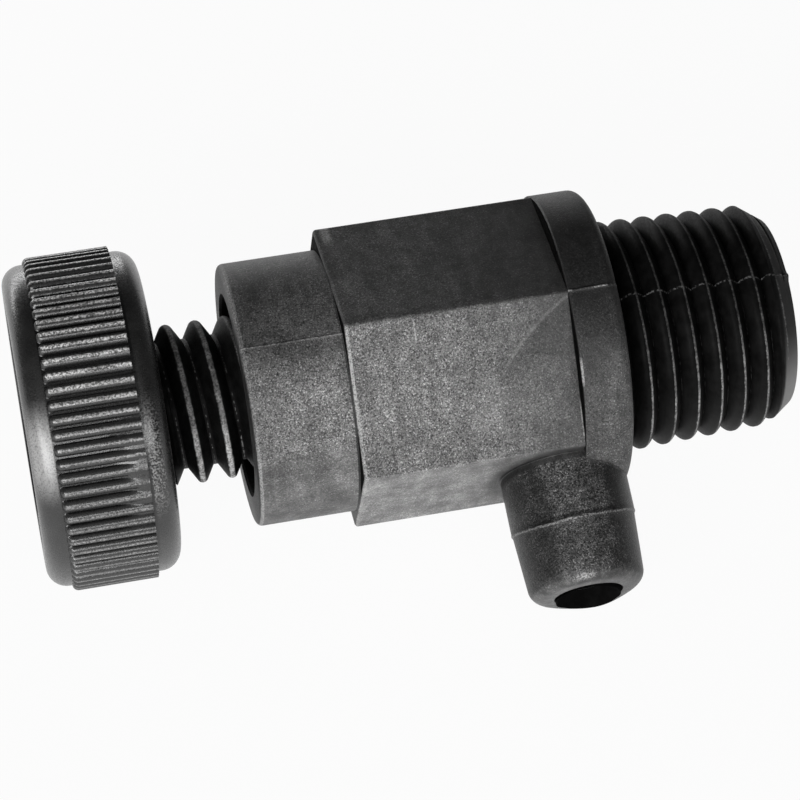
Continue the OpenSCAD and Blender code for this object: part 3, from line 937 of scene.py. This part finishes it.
def rubbed_edges_and_highlights(s):
    """Rubbed marks on the edges of hex, neck and collar, the spout, the front flat and the parting line; the
    hex's back edge is partly a painted highlight, and the mark on the spout's lip is a painted highlight.
    """
    # The hex's back edge: a light line, partly wear and partly a painted highlight, fading downwards.
    hex_edge_wear_and_highlight = s.times(s.band(s.x, HEX_BACK + 0.12, 0.06, 0.06), s.above(s.around, NECK_R - 0.03, 0.03),
                       s.remap(s.up, -4.6, 1.0, 0.35, 1.0), s.above(s.out, -0.2, 0.4), s.off_spout)
    hex_scuff = s.times(s.band(s.x, HEX_BACK + 0.5, 0.1, 0.3), s.above(s.up, 8.0, 0.7), 0.6)
    neck_edge = s.times(s.band(s.x, NECK_END + 0.16, 0.06, 0.06), s.remap(s.z, 0.5, 4.5, 1.0, 0.3),
                        s.above(s.around, NECK_R - 0.3, 0.1), 0.7)
    # Painted highlight on the spout's rounded lip.
    lip = s.times(s.band(s.out, SPOUT_REACH - 0.33, 0.03, 0.22), s.band(s.x, SPOUT_X - 0.65, 0.25, 0.7),
                  s.above(s.spout_up, 1.0, 1.2), s.remap(s.fine, 0.4, 0.6, 0.15, 1.0))
    spout_step = s.times(s.band(s.step_out, SPOUT_STEP + 0.02, 0.03, 0.07), s.on_spout,
                         s.remap(s.fine, 0.4, 0.6, 0.1, 0.4))
    tool_mark = s.times(s.band(s.x, HEX_BACK + 3.95, 0.02, 0.06), s.band(s.up, 3.5, 0.5, 0.4), s.front_flat)
    collar_edge = s.times(s.band(s.x, COLLAR_BACK + 0.05, 0.05, 0.04), s.band(s.up, 0.0, 0.4, 0.6),
                          s.above(s.around, COLLAR_R - 0.12, 0.06), s.near_half)
    collar_foot = s.times(s.band(s.x, COLLAR_BACK - 0.04, 0.02, 0.04), s.band(s.up, -3.2, 0.8, 0.8),
                          s.below(s.around, COLLAR_R - 0.3, 0.1), s.near_half, 0.7)
    broken = s.above(s.noise(1.6, 3.0, 0.7, (1.0, 0.2, 0.2)), 0.42, 0.18)
    parting = s.times(s.band(s.out, 0.0, 0.03, 0.06), s.above(s.around, NECK_R - 0.2, 0.1), broken,
                      s.most(s.times(s.on_neck, 0.4), s.times(s.on_collar, 0.7)))
    marks = s.most(hex_edge_wear_and_highlight, hex_scuff, neck_edge, lip, spout_step, tool_mark, collar_edge, collar_foot,
                   parting)
    return s.times(marks, s.remap(s.fine, 0.35, 0.6, 0.2, 1.0))


def body_finish():
    """Black glass-filled plastic: a light fibre grain, flow marks with painted highlight and shade, rubbed
    edges with painted highlights, painted shade on the steps and above the spout's step, and painted light
    on the neck's end.
    """
    s = body_shader()
    grain, relief = body_grain(s)
    # Painted shadow just above the spout's raised step.
    shadow_over_step = s.times(s.band(s.step_out, SPOUT_STEP - 0.2, 0.06, 0.12), s.on_spout)
    tone = front_marks(s, s.times(body_tone(s), grain))
    tone = s.scaled(s.times(tone, neck_end_painted_light(s)), (shadow_over_step, 0.45))
    base = s.mix_colour(s.times(tone, 1 / TONE_RANGE), grey(0.0), grey(TONE_RANGE * BODY_TONE))
    base = s.mix_colour(painted_step_shade(s), base, grey(PAINTED_SHADE_TONE))
    base = s.mix_colour(rubbed_edges_and_highlights(s), base, grey(RUBBED_AND_HIGHLIGHT_TONE))
    rough = s.scaled(s.remap(s.fine, 0.3, 0.7, 0.46, 0.66), (s.on_spout, 0.75))
    return s.coat(base, rough, 0.4, relief, 0.02)


def painted_shade_finish():
    """Painted shade for the inside of the body and for the steps that face the knob: smooth and near-black.
    """
    s = Shader("body_plastic_painted_shade")
    base = s.mix_colour(s.above(s.noise(1.2, 3.0), 0.35, 0.35), grey(PAINTED_SHADE_TONE), grey(2 * PAINTED_SHADE_TONE))
    return s.coat(base, s.remap(s.noise(6.0, 3.0), 0.3, 0.7, 0.6, 0.8), 0.02)


def thread_lines(name, dark, pitch, crest_x, line_at, line_half):
    """Near-black plastic with a broken light line on a thread, line_at across its pitch, 0.5 on the crest: a
    painted highlight, on the stem partly wear.
    Gives the shader, the dark colour, the line's mask and the grain."""
    s = Shader(name)
    grain = s.noise(8.0, 3.0, 0.6)
    patch = s.noise(1.3, 3.0, 0.6)
    ragged = s.noise(4.0, 3.0, 0.7)
    turns = s.math("SUBTRACT", s.times(s.add(s.along((1, 0, 0)), -crest_x), 1 / pitch), s.turn())
    across = s.add(s.math("FRACT", s.add(turns, 0.5)), s.times(s.add(ragged, -0.5), 0.08))
    root = s.math("FRACT", s.add(across, 0.5))
    # Painted highlight: a broken light line across the thread's pitch; on the stem partly wear too.
    line = s.times(s.band(across, line_at, line_half, line_half), s.remap(grain, 0.35, 0.62, 0.3, 1.0),
                   s.remap(patch, 0.36, 0.62, 0.45, 1.0))
    faint = s.times(s.band(root, 0.5, 0.0, 0.03), s.remap(ragged, 0.48, 0.62, 0.0, 0.3))
    base = s.mix_colour(s.above(patch, 0.35, 0.33), grey(dark), grey(dark * 2.2))
    return s, base, s.most(line, faint), grain


def finish_thread(s, base, lit, wear_and_highlight_tone, grain):
    """Joins a thread's dark base and its light marks, wear and painted highlights, into the surface."""
    base = s.mix_colour(lit, base, grey(wear_and_highlight_tone))
    return s.coat(base, s.remap(grain, 0.3, 0.7, 0.42, 0.6), 0.05, grain, 0.01)


def pipe_finish():
    """The pipe thread: a painted highlight line on each turn's shoulder, a painted sheen greying its
    underside, painted light on the end chamfer's lower side, and a light parting line.
    """
    s, base, line, grain = thread_lines("body_plastic_thread", PIPE_TONE, PIPE_PITCH, PIPE_CREST_X,
                                        0.61, 0.03)
    x = s.along((1, 0, 0))
    z = s.along((0, 0, 1))
    # Painted highlight: the shoulder line, only along the thread's middle and fading upwards.
    line = s.times(line, s.above(x, 0.7, 0.7), s.below(x, NIPPLE_END - 0.8, 0.2),
                   s.remap(z, 0.0, 6.0, 1.0, 0.2))
    # Painted light on the end chamfer, strongest low down.
    end_ring_light = s.times(s.above(x, NIPPLE_END - 1.0, 0.2), s.remap(z, -1.0, 3.5, 1.0, 0.1), 0.6)
    parting = s.times(s.band(s.turned(0), 0.0, 0.03, 0.06), s.remap(grain, 0.45, 0.62, 0.0, 0.25),
                      s.below(x, NIPPLE_END - 0.15, 0.05))
    # Painted sheen: the underside is greyed with grain, as a reflection of the floor.
    underside_sheen = s.times(s.below(z, -4.0, 7.0), s.remap(grain, 0.35, 0.65, 0.008, 0.034))
    return finish_thread(s, base, s.most(line, parting, underside_sheen, end_ring_light), RUBBED_AND_HIGHLIGHT_TONE, grain)


def stem_finish():
    """The stem: a narrow light line on the crests, partly wear and partly a painted highlight, strongest in
    front and below.
    """
    s, base, line, grain = thread_lines("stem_plastic_black", STEM_TONE, STEM_PITCH, STEM_CREST_X,
                                        0.5, 0.055)
    # Wear and a painted highlight on the crests, strongest low down.
    line = s.times(line, s.remap(s.along((0, 0, 1)), -0.5, 4.0, 1.0, 0.25))
    return finish_thread(s, base, line, STEM_LINE_WEAR_AND_HIGHLIGHT_TONE, grain)


def knob_finish():
    """Satin black plastic: rubbed, speckled ridge tops with a painted highlight, grooves darkened with
    painted shade, a finely scuffed right rim and a painted highlight on the left rim.
    """
    s = Shader("knob_plastic_satin")
    grain = s.noise(9.0, 3.0, 0.65)
    fibre = s.noise(5.0, 3.0, 0.7)
    mottle = s.noise(0.5, 4.0, 0.6)
    x = s.along((1, 0, 0))
    z = s.along((0, 0, 1))
    radius = s.radius()
    turn = s.turn()

    # The ridges and the grooves between them
    across = s.math("FRACT", s.add(s.times(turn, float(RIDGES)), 0.5))
    across = s.add(across, s.times(s.add(fibre, -0.5), 0.18))
    away = s.math("DIVIDE", s.gap(across, 0.5), s.remap(z, 3.5, 7.5, 1.0, 1.4))
    # Ridge tops: rubbed wear with a painted highlight, wider higher on the knob.
    top = s.times(s.below(away, 0.04, 0.1), s.above(radius, RIM_R + 0.26, 0.07),
                  s.remap(grain, 0.42, 0.60, 0.12, 1.0), s.remap(mottle, 0.35, 0.65, 0.6, 1.0))
    ridge = s.above(radius, RIM_R + 0.12, 0.18)
    band_middle = (BAND_FROM + BAND_TO) / 2
    in_band = s.band(x, band_middle, BAND_TO - band_middle, 0.02)
    # Painted shade: the grooves drawn near-black, and a painted shadow line on the rim just past the band's
    # end.
    foot = s.times(s.band(x, BAND_TO + 0.08, 0.06, 0.06), s.above(radius, RIM_R - 0.1, 0.05))
    groove_and_foot_shade = s.most(foot, s.times(s.below(radius, RIM_R + 0.01, 0.11), in_band))

    # Marks of use on the right rim, and a painted highlight on the left rim
    scuffed = s.times(s.band(turn, SMEAR_ANGLE / (2 * math.pi) - 0.008, 0.02, 0.05),
                      s.above(x, BAND_TO + 0.1, 0.1), s.above(radius, RIM_R - 0.3, 0.25),
                      s.remap(grain, 0.46, 0.62, 0.0, 0.75))
    # Painted highlight on the left rim, drawn as a grainy pale patch.
    left_rim_highlight = s.times(s.band(turn, LEFT_RIM_HIGHLIGHT_ANGLE / (2 * math.pi), 0.012, 0.045),
                      s.below(x, BAND_FROM - 0.1, 0.1), s.above(radius, RIM_R - 1.1, 0.7),
                      s.remap(grain, 0.3, 0.6, 0.5, 1.0))

    base = s.mix_colour(s.above(mottle, 0.35, 0.33), grey(0.008), grey(0.018))
    base = s.mix_colour(groove_and_foot_shade, base, grey(0.002))
    base = s.mix_colour(ridge, base, grey(0.02))
    base = s.mix_colour(s.most(scuffed, left_rim_highlight), base, grey(0.36))
    # Ridge tops: wear and painted highlight, lighter higher on the knob.
    base = s.mix_colour(top, base, s.mix_colour(s.above(z, 5.6, 3.8), grey(0.33), grey(0.95)))
    return s.coat(base, s.remap(grain, 0.3, 0.7, 0.22, 0.38), 0.85, grain, 0.012)


def rubber_finish():
    s = Shader("rubber_black")
    grain = s.noise(14.0, 3.0, 0.6)
    base = s.mix_colour(s.above(s.noise(1.0, 3.0), 0.35, 0.35), grey(0.012), grey(0.024))
    return s.coat(base, s.remap(grain, 0.3, 0.7, 0.62, 0.8), 0.5, grain, 0.01)


def acetal_finish():
    s = Shader("acetal_natural")
    grain = s.noise(6.0, 3.0, 0.6)
    base = s.mix_colour(s.above(s.noise(0.8, 3.0), 0.35, 0.35), (0.66, 0.64, 0.57), (0.76, 0.74, 0.68))
    return s.coat(base, s.remap(grain, 0.3, 0.7, 0.32, 0.46), 0.5, grain, 0.006)


def steel_finish():
    s = Shader("steel_turned")
    rings = s.noise(2.0, 3.0, 0.6, (9.0, 0.6, 0.6))
    base = s.mix_colour(s.above(rings, 0.3, 0.4), (0.50, 0.50, 0.48), (0.66, 0.66, 0.64))
    s.surface.inputs["Metallic"].default_value = 1.0
    return s.coat(base, s.remap(rings, 0.3, 0.7, 0.24, 0.4), 0.5, rings, 0.004)


def dress(piece, material):
    piece.data.materials.clear()
    piece.data.materials.append(material)


def dress_body(piece, thread, painted_shade):
    """Gives the nipple the thread's finish, and a dark one, painted shade, to the bores and to the steps
    that face the knob, apart from the neck's end and the hex's lowest corner."""
    piece.data.materials.append(thread)
    piece.data.materials.append(painted_shade)
    spout_axis = Vector(towards(SPOUT_ANGLE))
    inward = -0.15
    for face in piece.data.polygons:
        centre = face.center / MM
        from_axis = Vector((0, centre.y, centre.z))
        from_spout = centre - Vector((SPOUT_X, 0, 0))
        reach = from_spout.dot(spout_axis)
        from_spout -= reach * spout_axis
        faces_axis = face.normal.dot(from_axis) < inward * from_axis.length
        faces_spout = face.normal.dot(from_spout) < inward * from_spout.length
        in_bore = faces_axis and from_axis.length < MOUTH_R + 0.1
        in_spout = faces_spout and from_spout.length < SPOUT_BORE_R + 1.2 and reach > HEX_HALF
        on_spout = from_spout.length < SPOUT_R + 0.3 and reach > HEX_HALF
        neck_end = centre.x < NECK_END + 0.1
        low_corner = centre.z < -3.0 and abs(centre.x - HEX_BACK) < 0.5
        is_step = face.normal.x < -0.95 and not (on_spout or neck_end or low_corner)
        # Painted shade: bores and steps that face the knob get the near-black finish.
        if in_bore or in_spout or is_step:
            face.material_index = 2
        elif centre.x > 0.02:
            face.material_index = 1


# Putting the pieces on their bodies

knob_plastic = knob_finish()
rubber = rubber_finish()
steel = steel_finish()

for piece, body, node, slot_name, material, edge_deg in (
    (make_body(), "body", "valve_body", "body_plastic", body_finish(), 32),
    (make_knob(), "spindle", "knob", "knob_plastic", knob_plastic, 40),
    (make_cap(), "spindle", "knob_cap", "knob_plastic", knob_plastic, 35),
    (make_stem(), "spindle", "stem", "stem_plastic", stem_finish(), 35),
):
    dress(piece, material)
    if node == "valve_body":
        dress_body(piece, pipe_finish(), painted_shade_finish())
    finish_shading(piece, edge_deg)
    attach(piece, body)
    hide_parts(node)

for node, material in (("stem_o_ring", rubber), ("seal_washer", rubber), ("jumper", acetal_finish()),
                       ("knob_screw", steel), ("washer_screw", steel)):
    dress(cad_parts[node], material)


# Camera

CAMERA_EYE = Vector((-35.752, -126.212, 122.675))
CAMERA_TARGET = Vector((-11.948, 0.473, -2.961))
CAMERA_ROLL = math.radians(-1.525)
CAMERA_LENS = 135
CAMERA_SENSOR = 36
CAMERA_NEAR = 10


def aimed(place, target):
    """The turn and place of a lamp or camera that looks from one point, in metres, at another."""
    turn = (target - place).to_track_quat("-Z", "Y").to_matrix().to_4x4()
    return Matrix.Translation(place) @ turn


camera_data = bpy.data.cameras.new("camera")
camera_data.lens = CAMERA_LENS
camera_data.sensor_width = CAMERA_SENSOR
camera_data.clip_start = CAMERA_NEAR * MM
camera = add_object("camera", camera_data)
camera.matrix_world = aimed(CAMERA_EYE * MM, CAMERA_TARGET * MM) @ Matrix.Rotation(CAMERA_ROLL, 4, "Z")
scene.camera = camera


# Floor, lamps and world

FLOOR_HALF = 4000
FLOOR_GAP = 0.01
FLOOR_GREY = 0.82
FLOOR_WHITE_SHARE = 0.95


def make_floor():
    """A pale floor that fades to white for the camera and keeps the shadow."""
    level = min(body_low.z, knob_low.z) - FLOOR_GAP
    corners = [(x * FLOOR_HALF, y * FLOOR_HALF, level) for x, y in ((-1, -1), (1, -1), (1, 1), (-1, 1))]
    floor = new_object("floor", corners, [(0, 1, 2, 3)])
    s = Shader("floor_paper")
    s.surface.inputs["Base Color"].default_value = (FLOOR_GREY, FLOOR_GREY, FLOOR_GREY, 1)
    s.surface.inputs["Roughness"].default_value = 0.9
    s.surface.inputs["Specular IOR Level"].default_value = 0.1
    white = s.node("ShaderNodeEmission")
    white.inputs["Strength"].default_value = 1.0
    ray = s.node("ShaderNodeLightPath").outputs
    seen = s.most(ray["Is Camera Ray"], ray["Is Glossy Ray"], ray["Is Transmission Ray"])
    mix = s.node("ShaderNodeMixShader")
    s.link(s.times(seen, FLOOR_WHITE_SHARE), mix.inputs["Fac"])
    s.link(s.surface.outputs[0], mix.inputs[1])
    s.link(white.outputs[0], mix.inputs[2])
    s.link(mix.outputs[0], s.tree.nodes["Material Output"].inputs["Surface"])
    dress(floor, s.material)


def make_lamp(name, place, size, power):
    """A rectangular lamp that looks at the middle of the valve; lengths in metres."""
    data = bpy.data.lights.new(name, "AREA")
    data.shape = "RECTANGLE"
    data.size, data.size_y = size
    data.energy = power
    add_object(name, data).matrix_world = aimed(Vector(place), Vector((-0.012, 0, 0)))


def make_world():
    """A dim white surround, brighter near the horizon than overhead."""
    world = bpy.data.worlds.new("studio")
    scene.world = world
    world.use_nodes = True
    tree = world.node_tree
    place = tree.nodes.new("ShaderNodeTexCoord")
    split = tree.nodes.new("ShaderNodeSeparateXYZ")
    level = tree.nodes.new("ShaderNodeMapRange")
    for key, value in (("From Min", 0.0), ("From Max", 0.8), ("To Min", 0.16), ("To Max", 0.05)):
        level.inputs[key].default_value = value
    tree.links.new(place.outputs["Generated"], split.inputs[0])
    tree.links.new(split.outputs["Z"], level.inputs["Value"])
    tree.links.new(level.outputs["Result"], tree.nodes["Background"].inputs["Strength"])
    tree.nodes["Background"].inputs["Color"].default_value = (1, 1, 1, 1)


make_floor()
make_lamp("key", (-0.30, -0.45, 0.19), (0.46, 0.20), 2.7)
make_lamp("beam", (0.08, -0.52, 0.26), (0.30, 0.12), 0.8)
make_lamp("top", (-0.1, -0.30, 0.60), (0.4, 0.4), 0.12)
make_lamp("back", (-0.14, 0.48, 0.025), (0.5, 0.05), 0.7)
make_world()

bpy.context.scene.view_settings.view_transform = "Standard"
